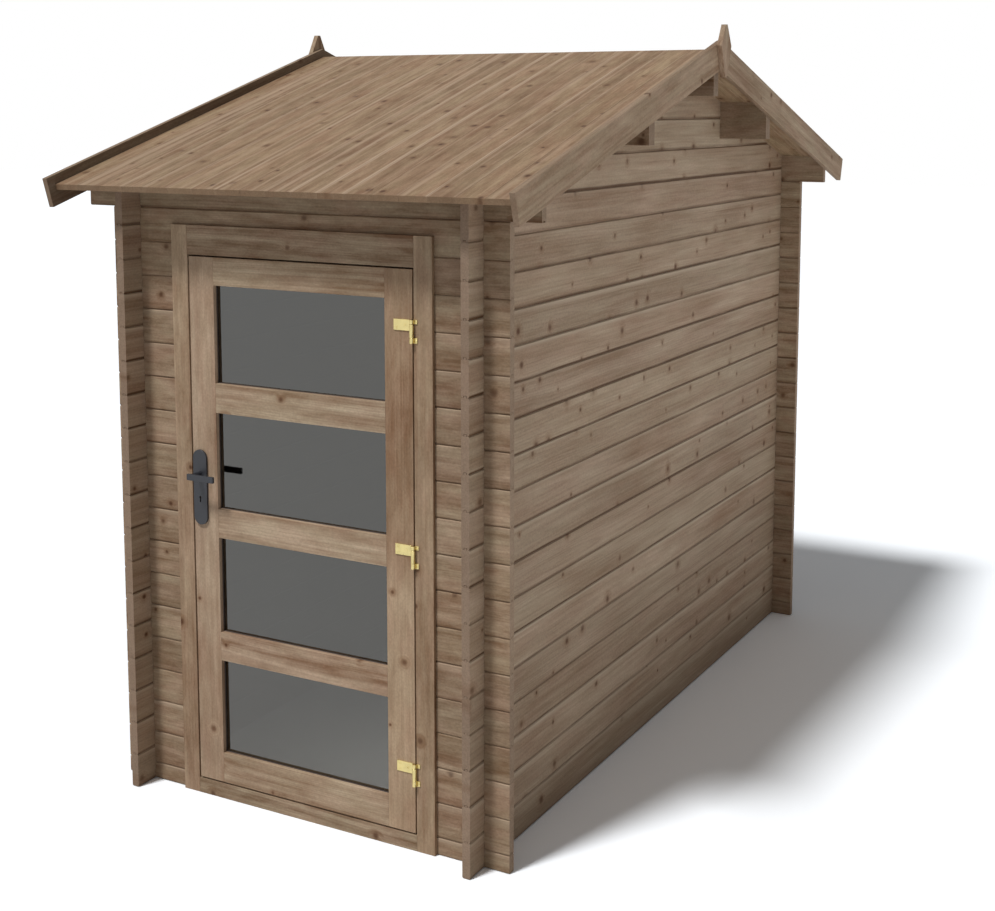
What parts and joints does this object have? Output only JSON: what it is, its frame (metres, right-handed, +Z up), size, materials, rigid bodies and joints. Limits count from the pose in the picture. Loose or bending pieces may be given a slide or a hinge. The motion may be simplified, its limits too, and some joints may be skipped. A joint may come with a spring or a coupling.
{
  "type": "wooden garden shed",
  "caption": "Log garden shed with crossed corner logs, a low gable roof with bargeboards and finials, and a glazed door with a lever handle in the eave wall.",
  "frame": {"origin": "on the ground, in the middle of the shed, under the ridge", "axes": "+X along the door wall to the hinge side, +Y from the door wall to the rear, +Z up"},
  "size_m": [1.804, 3.1448, 2.6198],
  "materials": {
    "log_wood": "weathered",
    "roof_wood": "weathered",
    "trim_wood": "weathered",
    "door_wood": "satin",
    "pane_glass": "clear",
    "hinge_brass": "satin",
    "handle_iron": "matt black",
    "spindle_steel": "bright"
  },
  "bodies": {
    "shed": {"front_wall_left_logs_a": "log_wood", "front_wall_left_logs_b": "log_wood", "front_wall_right_logs_a": "log_wood", "front_wall_right_logs_b": "log_wood", "lintel_log": "log_wood", "front_eave_log": "log_wood", "rear_wall_logs_a": "log_wood", "rear_wall_logs_b": "log_wood", "rear_eave_log": "log_wood", "left_wall_logs_a": "log_wood", "left_wall_logs_b": "log_wood", "right_wall_logs_a": "log_wood", "right_wall_logs_b": "log_wood", "left_gable_logs_a": "log_wood", "left_gable_logs_b": "log_wood", "right_gable_logs_a": "log_wood", "right_gable_logs_b": "log_wood", "ridge_purlin": "log_wood", "front_purlin": "log_wood", "rear_purlin": "log_wood", "front_roof_deck": "roof_wood", "rear_roof_deck": "roof_wood", "left_front_bargeboard": "trim_wood", "left_rear_bargeboard": "trim_wood", "right_front_bargeboard": "trim_wood", "right_rear_bargeboard": "trim_wood", "left_finial": "trim_wood", "right_finial": "trim_wood", "door_left_jamb": "door_wood", "door_right_jamb": "door_wood", "door_head": "door_wood", "door_sill": "door_wood", "hinge_frame_knuckles": "hinge_brass"},
    "door": {"leaf_lock_stile": "door_wood", "leaf_hinge_stile": "door_wood", "leaf_rails": "door_wood", "leaf_glass": "pane_glass", "hinge_leaf_plates": "hinge_brass", "outer_handle_plate": "handle_iron", "inner_handle_plate": "handle_iron"},
    "levers": {"handle_spindle": "spindle_steel", "outer_lever": "handle_iron", "inner_lever": "handle_iron"}
  },
  "joints": [
    {"name": "door_swing", "type": "hinge", "parent": "shed", "child": "door", "pos_m": [0.43375, -1.3928, 0.95], "axis": [0, 0, 1], "range_deg": [0, 120]},
    {"name": "lever_turn", "type": "hinge", "parent": "door", "child": "levers", "pos_m": [-0.399, -1.364, 1.1165], "axis": [0, 1, 0], "range_deg": [0, 40], "stiffness_Nm_per_rad": 1, "springref_deg": -28.65}
  ]
}
